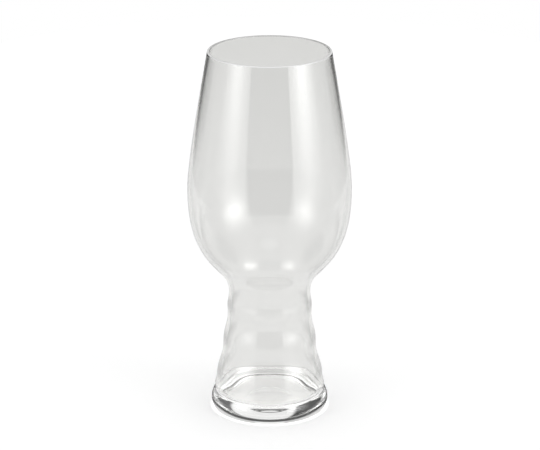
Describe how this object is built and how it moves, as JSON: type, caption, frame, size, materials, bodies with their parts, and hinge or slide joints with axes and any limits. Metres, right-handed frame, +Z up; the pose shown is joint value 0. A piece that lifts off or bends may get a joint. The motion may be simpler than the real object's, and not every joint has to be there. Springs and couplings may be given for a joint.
{
  "type": "ipa glass",
  "caption": "Tall clear beer glass with a tulip bowl leaning in to its mouth, a narrow waist, a ridged hollow grip and a thick solid foot.",
  "frame": {"origin": "on the table under the glass's axis, in the plane of the standing ring", "axes": "+Z up along the glass's axis; the glass is round, so +X and +Y are any two level directions"},
  "size_m": [0.083, 0.083, 0.188],
  "materials": {
    "bowl_glass": "thin blown clear glass, fire-polished",
    "column_glass": "clear glass blown in a ridged mould",
    "foot_glass": "thick pressed clear glass, polished"
  },
  "bodies": {
    "root": {"bowl": "bowl_glass", "ridged_column": "column_glass", "foot": "foot_glass"}
  },
  "joints": []
}
